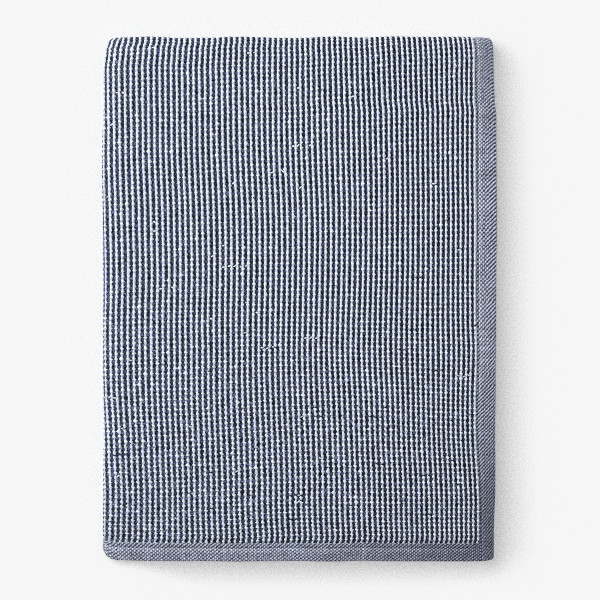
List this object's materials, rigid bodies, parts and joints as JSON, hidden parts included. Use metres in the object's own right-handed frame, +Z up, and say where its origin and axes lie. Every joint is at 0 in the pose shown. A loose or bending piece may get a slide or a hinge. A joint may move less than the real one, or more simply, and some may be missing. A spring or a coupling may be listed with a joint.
{
  "type": "folded woven cotton blanket",
  "caption": "Woven cotton blanket with fine light and dark ribs and plain hems, folded flat, with its folds at the left and top and its free hems at the right and bottom",
  "frame": {"origin": "middle of the underside, on the surface that the blanket lies on", "axes": "+X across the ribs towards the free side hem, +Y along the ribs towards the folded top edge, +Z up"},
  "size_m": [0.3818, 0.51, 0.0196],
  "materials": {
    "cotton_weave": "matte"
  },
  "bodies": {
    "root": {"blanket": "cotton_weave"}
  },
  "joints": []
}
